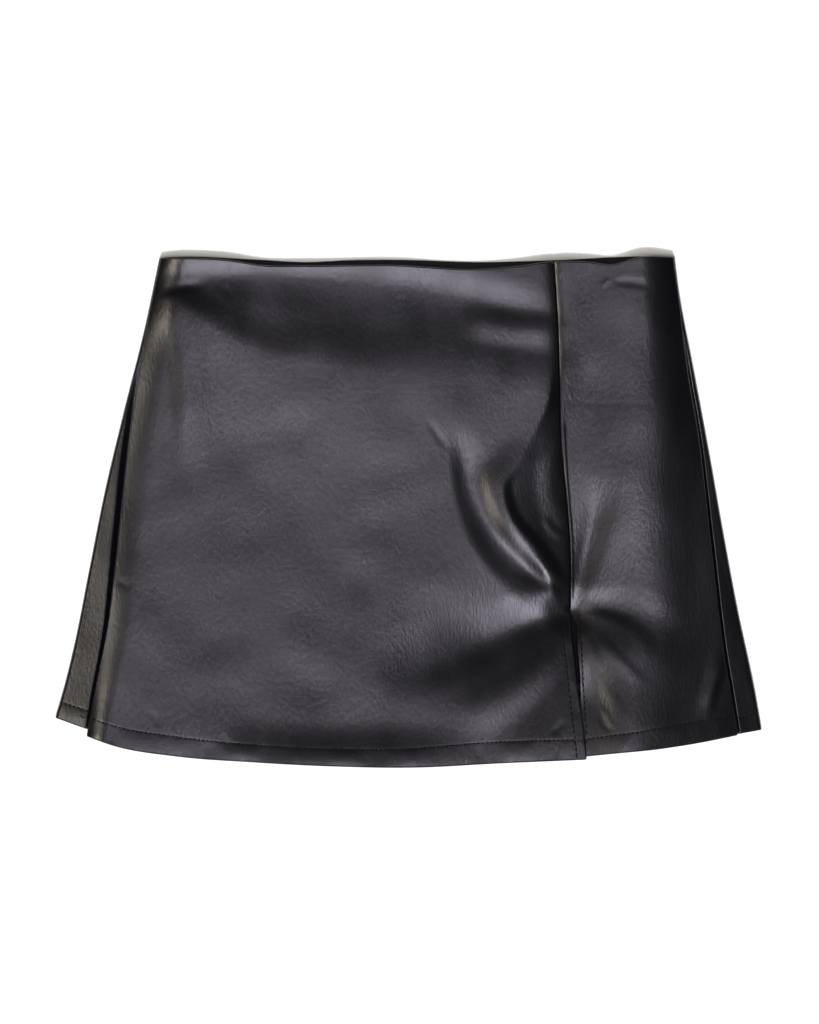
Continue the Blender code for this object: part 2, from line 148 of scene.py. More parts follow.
# Folds of the front. A path runs through (x, y) points. Heights and reaches are spread evenly along it, and
# the left reach is on the left hand of someone who walks the path. A fold fades out over a share of its
# length at each end. The lower its softness, the firmer the line where it begins.
Fold = namedtuple("Fold", "name path heights left_reach right_reach fade softness", defaults=(3.0,))
MAIN_FOLDS = (
    Fold("pinch at the slit's top", ((108, -67), (110, -68)), (-1.4,), (22,), (22,), 0),
    Fold("hollow beside the seam",
         ((101.3, 100), (102.9, 47), (106.0, 14), (108.4, -14), (109.2, -60), (109.1, -72)),
         (-0.6, -1.4, -2.3, -2.5, -1.9, -1.0), (0.1,), (4, 9, 27, 42, 34, 17, 6), 0.15, 1.8),
    Fold("ridge round the hollow",
         ((103, 108), (99, 78), (93, 52), (84, 39), (72, 31), (64, 20), (65, 6), (72, -9), (84, -22),
          (107, -55)),
         (0.0, 0.2, 1.2, 0.6), (8,), (26, 26, 16, 14), 0.12),
    Fold("main trough", ((31, 58), (37, 38), (42, 14), (52, -9), (68, -29), (88, -45), (109, -58)),
         (-0.5, -0.8, -1.0, -1.2, -0.7), (16, 16, 13, 9, 7), (10, 12, 16, 20, 20), 0.25, 2.2),
    Fold("valley left of the slit", ((122, -62), (84, -73), (57, -85), (30, -96), (-30, -116)),
         (-1.1, -1.2, -0.9, -0.5), (9, 22, 26, 26), (10, 26, 36, 36), 0.35),
    Fold("ridge left of the slit", ((112, -60), (104, -84), (88, -106), (66, -124), (10, -152)),
         (0.4, 0.7, 0.7, 0.4), (8, 22, 30), (10, 24, 30), 0.35),
    Fold("valley right of the slit", ((102, -69), (128, -64), (156, -73), (184, -108)),
         (-0.4, -0.5, -0.2), (7, 24, 30), (5, 12, 16), 0.35),
    Fold("ridge right of the slit", ((114, -70), (123, -90), (135, -122), (156, -152)), (0.3, 0.2, 0.05),
         (6, 8), (6, 10), 0.35),
    Fold("valley above the slit", ((110, -72), (119, -32), (127, 2), (131, 28)), (-0.35, -0.5, -0.3),
         (5, 12, 16), (6, 16, 20), 0.35),
    Fold("dip below the waist", ((-200, 158), (-140, 158), (-70, 156), (0, 149), (60, 138), (124, 120)),
         (-0.4, -0.8, -1.0, -0.8, -0.4), (14, 20, 28, 26, 20), (10, 30, 50, 44, 26), 0.2),
    Fold("belly", ((-172, 152), (-142, 130), (-107, 110), (-50, 97), (20, 90), (124, 92)),
         (0.6, 0.9, 0.9, 0.6, 0.3), (14, 28, 38, 38, 24), (20, 80, 120, 100, 50), 0.08),
    Fold("edge of the belly", ((-162, 160), (-153, 110), (-148, 20)), (0.4, 0.6, 0.4), (30,), (14,), 0.4),
    Fold("roll below the waist", ((30, 130), (62, 125), (112, 120)), (0.5,), (16,), (18,), 0.3),
    Fold("broad dip across the slit's top", ((-10, -104), (50, -84), (110, -68), (160, -66), (205, -80)),
         (-1.2, -1.5, -1.4, -1.0), (60, 60, 120, 140), (56, 50, 40, 40), 0.3),
    Fold("rise from the slit's top to the hem", ((122, -240), (120, -168)), (2.6,), (96,), (96,), 0),
    Fold("swell before the right side", ((156, 200), (160, 60), (158, -60), (162, -220)),
         (1.2, 1.6, 1.8, 1.2), (50,), (56,), 0),
)
CREASES = (
    Fold("hook in the hollow", ((92, -2), (95, -10), (100, -15), (106, -16)), (0.2,), (5,), (5,), 0.3),
    Fold("swell in the hollow", ((99, 62), (96, 36), (96, 10), (102, -12)), (0.2, 0.4, 0.5, 0.2),
         (12,), (14,), 0.2),
    Fold("lip below the trough", ((66, -44), (82, -52), (96, -57), (106, -60)), (0.32,), (11,), (30,), 0.3),
    Fold("proud edge of the side front", ((104.0, 66), (107.3, 14), (109.7, -14), (110.4, -66)),
         (0.2,), (1.3,), (1.3,), 0.1),
    Fold("crease above the trough", ((12, 64), (19, 53), (28, 40)), (-0.12,), (4,), (5,), 0.4),
    Fold("left clip mark", ((-170, 147), (-152, 151), (-134, 153)), (-0.3, -0.2), (7,), (5,), 0.35),
    Fold("dent of the left clip", ((-124, 150), (-120, 146)), (-0.08,), (3,), (3,), 0),
    Fold("right clip mark", ((136, 155), (150, 154.5), (166, 152)), (-0.15,), (5,), (5,), 0.35),
    Fold("dent of the right clip", ((130, 152), (136, 157)), (0.08,), (2.5,), (2.5,), 0.2),
    Fold("crease by the right clip", ((160, 143), (166, 151)), (-0.08,), (3,), (3,), 0.4),
    Fold("old fold line", ((100, 74), (140, 73), (176, 71)), (-0.02,), (2.5,), (3.5,), 0.25, 2.0),
    Fold("second ridge right of the slit", ((118, -74), (134, -92), (164, -122)), (0.2,), (7,), (9,), 0.4),
    Fold("pucker right of the slit", ((127, -132), (132, -143), (140, -152)), (-0.15,), (4,), (4,), 0.4),
    Fold("ridge by the right seam", ((214, -88), (206, -118), (198, -144)), (0.8,), (7,), (11,), 0.4),
    Fold("left hem crease", ((-176, -134), (-170, -140), (-168, -148)), (-0.1,), (4,), (4,), 0.4),
    Fold("second left hem crease", ((-128, -150), (-122, -157), (-121, -164)), (-0.1,), (4,), (4,), 0.4),
    Fold("pucker at the slit's hem", ((96, -152), (101, -146), (106, -140)), (-0.12,), (5,), (5,), 0.4),
    Fold("curl above the hem", ((-150, -166), (-90, -171), (0, -173), (70, -170)),
         (1.15,), (34,), (6,), 0.35),
    Fold("left edge dimple", ((-196, -46), (-188, -52)), (-0.15,), (5,), (5,), 0.2),
)
UNDERSIDE_FOLDS = (
    Fold("long fold of the back", ((-120, 120), (-60, 40), (-10, -60), (20, -140)), (0.8, 1.2, 1.0),
         (22,), (30,), 0.3),
    Fold("short fold of the back", ((60, 130), (84, 60), (120, 10)), (0.7, 1.0), (16,), (20,), 0.35),
    Fold("fold across the back's hem", ((90, -150), (130, -100), (180, -70)), (0.9, 0.8), (18,), (16,), 0.35),
    Fold("fold at the back's left", ((-190, -90), (-130, -60), (-90, -70)), (0.8,), (15,), (18,), 0.35),
)


def curve_through(rows):
    """A smooth function through rows of (place, value), level with its last value beyond each end."""
    place, value = np.array(sorted(rows), float).T
    gap = np.diff(place)
    rise = np.diff(value) / gap
    inner = (rise[:-1] * gap[1:] + rise[1:] * gap[:-1]) / (gap[1:] + gap[:-1])
    slope = np.concatenate([rise[:1], inner, rise[-1:]])

    def value_at(where):
        where = np.clip(np.asarray(where, float), place[0], place[-1])
        i = np.clip(np.searchsorted(place, where, side="right") - 1, 0, len(gap) - 1)
        t = (where - place[i]) / gap[i]
        ends = (1 + 2 * t) * (1 - t) ** 2 * value[i] + t * t * (3 - 2 * t) * value[i + 1]
        leans = t * (1 - t) ** 2 * slope[i] + t * t * (t - 1) * slope[i + 1]
        return ends + gap[i] * leans

    return value_at


def smooth_step(t):
    t = np.clip(t, 0, 1)
    return t * t * (3 - 2 * t)


left_fold = curve_through(LEFT_FOLD)
right_fold = curve_through(RIGHT_FOLD)
left_seam = curve_through(LEFT_SEAM)
right_seam = curve_through(RIGHT_SEAM)
wide_edge = curve_through(FRONT_SEAM + WIDE_SLIT_EDGE)
side_edge = curve_through(FRONT_SEAM + SIDE_SLIT_EDGE)
wide_hem = curve_through(WIDE_HEM)
side_hem = curve_through(SIDE_HEM)
back_hem = curve_through(BACK_HEM)
front_waist = curve_through(FRONT_WAIST)
back_waist = curve_through(BACK_WAIST)
shorts_inset = curve_through(SHORTS_INSET)
left_top = curve_through(LEFT_EDGE)
right_top = curve_through(RIGHT_EDGE)
left_roll = curve_through(LEFT_ROLL)
right_roll = curve_through(RIGHT_ROLL)
left_groove = curve_through(LEFT_GROOVE)
right_groove = curve_through(RIGHT_GROOVE)
wide_hem_stitch = curve_through(WIDE_HEM_STITCH)
side_hem_stitch = curve_through(SIDE_HEM_STITCH)
back_hem_stitch = curve_through(BACK_HEM_STITCH)
wide_slit_stitch = curve_through(WIDE_SLIT_STITCH)
side_slit_stitch = curve_through(SIDE_SLIT_STITCH)


def path_points(path, count=100):
    """Points spread evenly along a smooth curve through a path."""
    path = np.array(path, float)
    steps = np.linalg.norm(np.diff(path, axis=0), axis=1)
    along = np.concatenate([[0], np.cumsum(steps)])
    even = np.linspace(0, along[-1], count)
    return np.stack([curve_through(list(zip(along, path[:, k])))(even) for k in (0, 1)], axis=1)


def from_path(x, y, points):
    """How far each (x, y) is from a line of points, positive on its left, and its share of the way along."""
    nearest = np.full(np.shape(x), np.inf)
    distance = np.zeros(np.shape(x))
    share = np.zeros(np.shape(x))
    for k, (start, end) in enumerate(zip(points[:-1], points[1:])):
        run = end - start
        across, along = x - start[0], y - start[1]
        t = np.clip((across * run[0] + along * run[1]) / (run @ run), 0, 1)
        away = np.hypot(across - t * run[0], along - t * run[1])
        side = np.where(run[0] * along - run[1] * across < 0, -1, 1)
        closer = away < nearest
        nearest = np.where(closer, away, nearest)
        distance = np.where(closer, away * side, distance)
        share = np.where(closer, (k + t) / (len(points) - 1), share)
    return distance, share


def spread(values, share):
    """A value read from a few that are spread evenly along a path."""
    if len(values) == 1:
        return np.full(np.shape(share), float(values[0]))
    return curve_through(list(zip(np.linspace(0, 1, len(values)), values)))(share)


def fold_height(x, y, fold):
    """Height that one fold adds, worked out only at the points within its reach."""
    x, y = np.broadcast_arrays(x, y)
    points = path_points(fold.path)
    reach = max(fold.left_reach + fold.right_reach)
    low, high = points.min(axis=0) - reach, points.max(axis=0) + reach
    near = (x > low[0]) & (x < high[0]) & (y > low[1]) & (y < high[1])
    height = np.zeros(x.shape)
    distance, share = from_path(x[near], y[near], points)
    reach = np.where(distance > 0, spread(fold.left_reach, share), spread(fold.right_reach, share))
    q = np.clip(np.abs(distance) / reach, 0, 1)
    fade = smooth_step(np.minimum(share, 1 - share) / fold.fade) if fold.fade else 1
    height[near] = spread(fold.heights, share) * fade * (1 - q * q) ** fold.softness
    return height


def folds_height(x, y, folds):
    return sum(fold_height(x, y, fold) for fold in folds)


WAVE_COUNT = 26
WAVE_SEED = 7
WAVE_LENGTHS = (28.0, 120.0)
WAVE_SLOPE = 0.0017  # steepest rise of one wave, in mm for each mm


def mottle(x, y, seed):
    """Slight unevenness of cloth that has been worn and folded."""
    draw = np.random.default_rng(WAVE_SEED + seed)
    height = np.zeros(np.shape(x))
    for _ in range(WAVE_COUNT):
        length = np.exp(draw.uniform(*np.log(WAVE_LENGTHS)))
        turn, phase = draw.uniform(0, 2 * np.pi, 2)
        along = x * np.cos(turn) + y * np.sin(turn)
        height += WAVE_SLOPE * length / (2 * np.pi) * np.sin(2 * np.pi * along / length + phase)
    return height


BAND_PUFF = 0.06  # a turned edge swells between its stitching and its fold
STITCH_DENT = 0.04
STITCH_DENT_REACH = 0.8
PUCKERS = ((61.0, 0.4, 0.9), (37.0, 1.9, 0.7), (13.0, 0.8, 0.35))  # (wave length, phase, share) along an edge


def turned_band(inward, stitch, along):
    """Height that a turned and stitched edge adds, at a distance inward from its fold."""
    uneven = 1 + sum(share * np.sin(2 * np.pi * along / length + phase) for length, phase, share in PUCKERS)
    t = np.clip(inward / stitch, 0, 1)
    dent = STITCH_DENT * np.exp(-(((inward - stitch) / STITCH_DENT_REACH) ** 2))
    return BAND_PUFF * 4 * t * (1 - t) * uneven - dent


def edge_drop(drop, distance, reach):
    """How far below its crown the front lies at this distance from an edge, given its drop at the edge."""
    return drop * (1 - np.clip(distance / reach, 0, 1)) ** 2


def front_form(x, y):
    """Height of the outer face of either front, before small creases and turned edges."""
    top = MIDDLE_TOP + END_RISE * (y / END_REACH) ** 2
    drops = (
        edge_drop(top - left_top(y), x - left_seam(y), left_roll(y)),
        edge_drop(top - right_top(y), right_seam(y) - x, right_roll(y)),
    )
    height = top - np.cbrt(sum(drop**3 for drop in drops))
    height = height + folds_height(x, y, MAIN_FOLDS)
    return height - seam_dip(x, y)


def seam_dip(x, y):
    """Both fronts dip to the seam between them, and lower down only the wide one does."""
    dip = SEAM_DIP * np.exp(-np.abs(x - wide_edge(y)) / SEAM_REACH) * smooth_step((y - SLIT_TOP) / SEAM_REACH)
    return dip * np.where(x > wide_edge(y), smooth_step((y - SIDE_DIPS_ABOVE) / SIDE_DIPS_REACH), 1)


def slit_tuck(x, y):
    """How far the side front sinks beside the slit, to pass below the wide front's edge."""
    near = 1 - smooth_step((x - side_edge(y)) / TUCK_REACH)
    return TUCK_DEPTH * near * smooth_step((TUCK_START - y) / (TUCK_START - TUCK_END))


def wide_top(x, y):
    """Outer face of the wide front, with its creases and turned edges."""
    height = front_form(x, y) + folds_height(x, y, CREASES) + mottle(x, y, 0)
    height += turned_band(y - wide_hem(x), wide_hem_stitch(x), x)
    in_slit = smooth_step((SLIT_TOP - y) / SEAM_REACH)
    return height + in_slit * turned_band(wide_edge(y) - x, wide_edge(y) - wide_slit_stitch(y), y)


def side_top(x, y):
    """Outer face of the side front, with its creases and turned edges."""
    height = front_form(x, y) - slit_tuck(x, y) + folds_height(x, y, CREASES) + mottle(x, y, 0)
    height += turned_band(y - side_hem(x), side_hem_stitch(x), x)
    in_slit = smooth_step((SLIT_TOP - y) / SEAM_REACH)
    return height + in_slit * turned_band(x - side_edge(y), side_slit_stitch(y) - side_edge(y), y)


def skirt_form(x, y):
    """Height of whichever front covers this point."""
    return front_form(x, y) - np.where(x < wide_edge(y), 0, slit_tuck(x, y))


def crowded(length, spacings):
    """Shares 0 to 1 of a length whose local spacing follows rows of (share, spacing)."""
    share = np.linspace(0, 1, 2001)
    place, spacing = np.array(spacings, float).T
    density = length / np.interp(share, place, spacing)
    count = np.concatenate([[0], np.cumsum((density[1:] + density[:-1]) / 2 * np.diff(share))])
    steps = int(round(count[-1]))
    return np.interp(np.linspace(0, count[-1], steps + 1), count, share)


SETTLING_ROUNDS = 6  # x and y depend on each other, and settle in a few rounds


def on_cloth(u, v, left, right, hem, waist):
    """The point at share u of the way across a piece and v of the way up it."""
    y = hem(np.zeros_like(u)) * (1 - v) + waist(np.zeros_like(u)) * v
    for _ in range(SETTLING_ROUNDS):
        x = left(y) * (1 - u) + right(y) * u
        y = hem(x) * (1 - v) + waist(x) * v
    return x, y


EDGE_INSET = CLOTH / 2  # the rounded edge of a wall fills this
SEAM_INSET = GAP / 2 + EDGE_INSET
FRONT_ROWS = ((0, 0.8), (0.045, 0.8), (0.07, 1.7), (0.97, 1.7), (1, 0.9))  # (share of the way up, spacing)
WIDE_COLUMNS = ((0, 0.8), (0.02, 1.9), (0.66, 1.9), (0.72, 1.3), (0.95, 1.2), (0.965, 0.8), (1, 0.8))
SIDE_COLUMNS = ((0, 0.7), (0.08, 0.8), (0.16, 1.4), (0.97, 1.4), (1, 0.8))
FRONT_LENGTH = 338.0
WIDE_WIDTH = 320.0
SIDE_WIDTH = 104.0


def front_wall(left, right, hem, waist, top, columns, width, turned):
    """Outer points and thickness of a front panel."""
    u, v = np.meshgrid(crowded(width, columns), crowded(FRONT_LENGTH, FRONT_ROWS))
    x, y = on_cloth(u, v, left, right, hem, waist)
    return np.stack([x, y, top(x, y)], axis=-1), thickness_of(turned(x, y))


THICKNESS_STEP = 1.5  # turned cloth thins to single cloth over this distance


def thickness_of(past):
    """Cloth thickness, given how far each point lies inside turned cloth."""
    return CLOTH + (TURNED - CLOTH) * smooth_step(past / THICKNESS_STEP)


def wide_front():
    def turned(x, y):
        hem = wide_hem_stitch(x) + TURN_PAST_STITCH - (y - wide_hem(x))
        waist = WAIST_TURN - (front_waist(x) - y)
        slit = np.where(y < SLIT_TOP, SLIT_TURN + TURN_PAST_STITCH - (wide_edge(y) - x), -1.0)
        return np.maximum(np.maximum(hem, waist), slit)

    return front_wall(
        lambda y: left_seam(y) + EDGE_INSET,
        lambda y: wide_edge(y) - SEAM_INSET,
        lambda x: wide_hem(x) + EDGE_INSET,
        lambda x: front_waist(x) - EDGE_INSET,
        wide_top, WIDE_COLUMNS, WIDE_WIDTH, turned,
    )


def side_front():
    def turned(x, y):
        hem = side_hem_stitch(x) + TURN_PAST_STITCH - (y - side_hem(x))
        waist = WAIST_TURN - (front_waist(x) - y)
        slit = np.where(y < SLIT_TOP, SLIT_TURN + TURN_PAST_STITCH - (x - side_edge(y)), -1.0)
        return np.maximum(np.maximum(hem, waist), slit)

    return front_wall(
        lambda y: side_edge(y) + SEAM_INSET,
        lambda y: right_seam(y) - EDGE_INSET,
        lambda x: side_hem(x) + EDGE_INSET,
        lambda x: front_waist(x) - EDGE_INSET,
        side_top, SIDE_COLUMNS, SIDE_WIDTH, turned,
    )


def strip_height(inward, width, groove_width):
    """Height of the strip that the back turns over to the front, at this distance inward from the side."""
    round_part = np.clip(inward / FOLD_RADIUS, 0, 1)
    arc = FOLD_RADIUS * (1 + np.sqrt(1 - (1 - round_part) ** 2))
    climb = STRIP_RISE * np.clip(inward - FOLD_RADIUS, 0, None)
    groove = GROOVE_DEPTH * smooth_step(1 - (width - inward) / groove_width)
    return arc + climb - groove * smooth_step(width / NARROW_STRIP)


STRIP_STEPS = 40
ARC_STEPS = 5
FLOOR_STEPS = 110
BACK_COLUMNS = 2 * (STRIP_STEPS + ARC_STEPS) + FLOOR_STEPS
BACK_ROWS = ((0, 0.9), (0.05, 0.9), (0.08, 1.9), (0.97, 1.9), (1, 1.0))


def back_sheet():
    """The back runs round both sides: right strip, right fold, floor, left fold, left strip."""
    column, v = np.meshgrid(np.arange(BACK_COLUMNS + 1), crowded(FRONT_LENGTH, BACK_ROWS))
    half = BACK_COLUMNS // 2
    left_half = column > half
    from_edge = np.where(left_half, BACK_COLUMNS - column, column)
    side = np.where(left_half, -1, 1)

    def fold(y):
        return np.where(left_half, left_fold(y), right_fold(y))

    def width(y):
        return np.abs(fold(y) - np.where(left_half, left_seam(y), right_seam(y)))

    on_strip = smooth_step(1 - from_edge / STRIP_STEPS)
    turn = np.clip((from_edge - STRIP_STEPS) / ARC_STEPS, 0, 1) * np.pi / 2
    on_floor = np.clip((from_edge - STRIP_STEPS - ARC_STEPS) / (half - STRIP_STEPS - ARC_STEPS), 0, 1)
    y = back_hem(np.zeros_like(v)) * (1 - v) + back_waist(np.zeros_like(v)) * v
    for _ in range(SETTLING_ROUNDS):
        tuck = STRIP_TUCK * smooth_step(width(y) / NARROW_STRIP)
        strip_inward = on_strip * (width(y) + tuck)
        inward = np.where(from_edge <= STRIP_STEPS, strip_inward, FOLD_RADIUS * (1 - np.cos(turn)))
        x = fold(y) - side * inward
        x = x * (1 - on_floor) + (left_fold(y) + right_fold(y)) / 2 * on_floor
        y = (back_hem(x) + EDGE_INSET) * (1 - v) + (back_waist(x) - EDGE_INSET) * v
    above = from_edge <= STRIP_STEPS
    groove_width = np.where(left_half, left_groove(y), right_groove(y))
    strip = strip_height(inward, width(y), groove_width) + strip_finish(x, y, inward)
    floor = FOLD_RADIUS * (1 - np.sin(turn)) + underside_lift(x, y)
    past_hem = back_hem_stitch(x) + TURN_PAST_STITCH - (y - back_hem(x))
    past = np.maximum(WAIST_TURN - (back_waist(x) - y), past_hem)
    return np.stack([x, y, np.where(above, strip, floor)], axis=-1), thickness_of(past)


def strip_finish(x, y, inward):
    """Turned hem and slight unevenness of the strips, fading out toward the fold at the side."""
    band = turned_band(y - back_hem(x), back_hem_stitch(x), x)
    return (band + mottle(x, y, 1)) * smooth_step(inward / (2 * FOLD_RADIUS))


def underside_lift(x, y):
    """Soft arches in the back, which rests on the floor all round them."""
    return folds_height(x, y, UNDERSIDE_FOLDS)


SEAM_STEPS = 6
SHEET_STEPS = 34
TURN_STEPS = 5
LEG_COLUMNS = 2 * (SEAM_STEPS + SHEET_STEPS + TURN_STEPS)
LEG_ROWS = 72


def leg_sheet(side):
    """One leg of the shorts, from its front centre edge round the side to its back centre edge."""
    outer = right_fold if side > 0 else left_fold
    column, v = np.meshgrid(np.arange(LEG_COLUMNS + 1), np.linspace(0, 1, LEG_ROWS + 1))
    column = column if side > 0 else LEG_COLUMNS - column
    from_edge = np.minimum(column, LEG_COLUMNS - column)
    above = np.where(column <= LEG_COLUMNS // 2, 1, -1)
    waist = front_waist(np.full(v.shape, side * SHORTS_WAIST_AT)) - WAIST_TURN - GAP
    y = SHORTS_HEM * (1 - v) + waist * v
    curl = smooth_step((CROTCH - y) / CROTCH_CURL)
    inner = SHORTS_CENTRE + side * (GAP / 2 + INSEAM_SPREAD * np.clip(CROTCH - y, 0, None))
    edge = outer(y) - side * shorts_inset(y)
    bend = np.clip(1 - from_edge / SEAM_STEPS, 0, 1) * np.pi / 2 * curl
    flat_x = np.clip(from_edge / SEAM_STEPS, 0, 1) * SHORTS_RADIUS
    curled_x = SHORTS_RADIUS * (1 - np.sin(bend))
    seam_x = inner + side * (curled_x * curl + flat_x * (1 - curl))
    across = np.clip((from_edge - SEAM_STEPS) / SHEET_STEPS, 0, 1)
    sheet_x = (inner + side * SHORTS_RADIUS) * (1 - across) + (edge - side * SHORTS_RADIUS) * across
    turn = np.clip((from_edge - SEAM_STEPS - SHEET_STEPS) / TURN_STEPS, 0, 1) * np.pi / 2
    x = np.where(from_edge < SEAM_STEPS, seam_x, sheet_x + side * SHORTS_RADIUS * np.sin(turn))
    parted = GAP / 2 / SHORTS_RADIUS
    level = np.where(from_edge < SEAM_STEPS, parted + (1 - parted) * np.cos(bend), np.cos(turn))
    top = SHORTS_LOW + SHORTS_SHARE * (skirt_form(x, y) - SHORTS_LOW)
    floor = SHORTS_FLOOR + underside_lift(x, y)
    z = floor + (np.maximum(top, floor) - floor) * (1 + above * level) / 2
    return np.stack([x, y, z], axis=-1), np.full(v.shape, JERSEY)


RIM_STEPS = 4


def unit(vectors):
    return vectors / np.linalg.norm(vectors, axis=-1, keepdims=True)


def grid_normals(points):
    across = np.gradient(points, axis=1)
    up = np.gradient(points, axis=0)
    return unit(np.cross(across, up))


def boundary_of(rows, columns):
    """Indices round the edge of a grid, anticlockwise as seen from its outer side."""
    index = np.arange(rows * columns).reshape(rows, columns)
    return np.concatenate([index[0, :-1], index[:-1, -1], index[-1, :0:-1], index[:0:-1, 0]])


def wall_mesh(name, points, thickness, outside, inside):
    """A closed wall of cloth on a grid of outer points, with its edges rounded."""
    rows, columns = points.shape[:2]
    normal = grid_normals(points).reshape(-1, 3)
    outer = points.reshape(-1, 3)
    thick = thickness.reshape(-1, 1)
    inner = outer - normal * thick
    ring = boundary_of(rows, columns)
    along = unit(outer[np.roll(ring, -1)] - outer[np.roll(ring, 1)])
    outward = unit(np.cross(along, normal[ring]))
    middle = (outer[ring] + inner[ring]) / 2
    loops = [ring]
    vertices = [outer, inner]
    start = 2 * len(outer)
    for k in range(1, RIM_STEPS):
        angle = np.pi * k / RIM_STEPS
        arc = normal[ring] * np.cos(angle) + outward * np.sin(angle)
        vertices.append(middle + arc * thick[ring] / 2)
        loops.append(np.arange(len(ring)) + start)
        start += len(ring)
    loops.append(ring + len(outer))
    index = np.arange(rows * columns).reshape(rows, columns)
    corners = (index[:-1, :-1], index[:-1, 1:], index[1:, 1:], index[1:, :-1])
    skin = np.stack([corner.ravel() for corner in corners], axis=1)
    rim = [
        np.stack([np.roll(upper, -1), upper, lower, np.roll(lower, -1)], axis=1)
        for upper, lower in zip(loops[:-1], loops[1:])
    ]
    faces = np.concatenate([skin, *rim, skin[:, ::-1] + len(outer)])
    material = np.zeros(len(faces), int)
    material[len(faces) - len(skin):] = 1
    return mesh_piece(name, np.concatenate(vertices), faces, material, (outside, inside), ring)


def mesh_piece(name, points, faces, material_index, materials, sharp):
    """A smooth piece whose edges between the sharp points are crisp."""
    mesh = bpy.data.meshes.new(name)
    mesh.from_pydata((points * MM).tolist(), [], faces.tolist())
    for material in materials:
        mesh.materials.append(material)
    mesh.polygons.foreach_set("material_index", material_index)
    mesh.shade_smooth()
    ends = np.zeros(2 * len(mesh.edges), int)
    mesh.edges.foreach_get("vertices", ends)
    mesh.edges.foreach_set("use_edge_sharp", np.isin(ends.reshape(-1, 2), sharp).all(axis=1))
    mesh.update()
    piece = bpy.data.objects.new(name, mesh)
    bpy.context.scene.collection.objects.link(piece)
    return piece


# Sewing.
THREAD = 0.62  # half the width of a stitch
THREAD_RISE = 0.35  # how far a stitch stands out of its dent
STITCH_SIDES = 6
# Rows of (share of a stitch's length, share of its width).
STITCH_SHAPE = ((0.0, 0.25), (0.12, 0.8), (0.5, 1.0), (0.88, 0.8), (1.0, 0.25))
HEM_PITCH = 3.0
HEM_THREAD = 0.7  # share of the pitch that is thread
SLIT_PITCH = 4.0
SLIT_THREAD = 0.76

# Where the rows of stitching begin and end.
SLIT_ROWS_TOP = -75.0
WIDE_SLIT_ROW_LOW = -166.0
SIDE_SLIT_ROW_LOW = -152.0
HEM_MEETS_SLIT = -150.0
LEFT_HEM_ROW_AT = -140.0
RIGHT_HEM_ROW_AT = -136.0
FROM_LEFT_SEAM = 2.0
FROM_RIGHT_SEAM = 2.5
LEFT_STRIP_ROW = (-235.6, -213.5)
RIGHT_STRIP_ROW = (221.5, 235.2)
BACK_ROW = (-232.0, 232.0)
Row = namedtuple("Row", "name line surface pitch share")


def line_points(line, first, last, count=400):
    """Points along a line given as a function of one coordinate."""
    return np.stack(line(np.linspace(first, last, count)), axis=1)


def stitch_rows():
    """Rows of stitching: plan points, the surface they lie on, the pitch and how much of it is thread."""
    def hem_line(hem, inset):
        return lambda x: (x, hem(x) + inset(x))

    wide_end = wide_slit_stitch(HEM_MEETS_SLIT)
    side_start = side_slit_stitch(HEM_MEETS_SLIT)
    left_hem_x = left_seam(LEFT_HEM_ROW_AT) + FROM_LEFT_SEAM
    right_hem_x = right_seam(RIGHT_HEM_ROW_AT) - FROM_RIGHT_SEAM
    return (
        Row("wide_hem_stitches", line_points(hem_line(wide_hem, wide_hem_stitch), left_hem_x, wide_end),
            wide_top, HEM_PITCH, HEM_THREAD),
        Row("side_hem_stitches", line_points(hem_line(side_hem, side_hem_stitch), side_start, right_hem_x),
            side_top, HEM_PITCH, HEM_THREAD),
        Row("wide_slit_stitches",
            line_points(lambda y: (wide_slit_stitch(y), y), SLIT_ROWS_TOP, WIDE_SLIT_ROW_LOW),
            wide_top, SLIT_PITCH, SLIT_THREAD),
        Row("side_slit_stitches",
            line_points(lambda y: (side_slit_stitch(y), y), SLIT_ROWS_TOP, SIDE_SLIT_ROW_LOW),
            side_top, SLIT_PITCH, SLIT_THREAD),
    )


def strip_top(x, y):
    """Outer face of the strips."""
    left = x < 0
    fold = np.where(left, left_fold(y), right_fold(y))
    inward = np.abs(x - fold)
    width = np.abs(fold - np.where(left, left_seam(y), right_seam(y)))
    groove_width = np.where(left, left_groove(y), right_groove(y))
    return strip_height(inward, width, groove_width) + strip_finish(x, y, inward)


def back_hem_line(x):
    return x, back_hem(x) + back_hem_stitch(x)


def strip_rows():
    left = line_points(back_hem_line, *LEFT_STRIP_ROW)
    right = line_points(back_hem_line, *RIGHT_STRIP_ROW)
    return (
        Row("left_strip_stitches", left, strip_top, HEM_PITCH, HEM_THREAD),
        Row("right_strip_stitches", right, strip_top, HEM_PITCH, HEM_THREAD),
    )


def underside_row():
    line = line_points(back_hem_line, *BACK_ROW)
    return Row("back_hem_stitches", line, underside_lift, HEM_PITCH, HEM_THREAD)


def even_places(points, pitch):
    """Middles and directions of stitches spaced evenly along plan points."""
    steps = np.linalg.norm(np.diff(points, axis=0), axis=1)
    along = np.concatenate([[0], np.cumsum(steps)])
    middles = np.arange(pitch / 2, along[-1], pitch)
    place = np.stack([np.interp(middles, along, points[:, k]) for k in (0, 1)], axis=1)
    ahead = np.stack([np.interp(middles + pitch / 4, along, points[:, k]) for k in (0, 1)], axis=1)
    behind = np.stack([np.interp(middles - pitch / 4, along, points[:, k]) for k in (0, 1)], axis=1)
    return place, unit(ahead - behind)


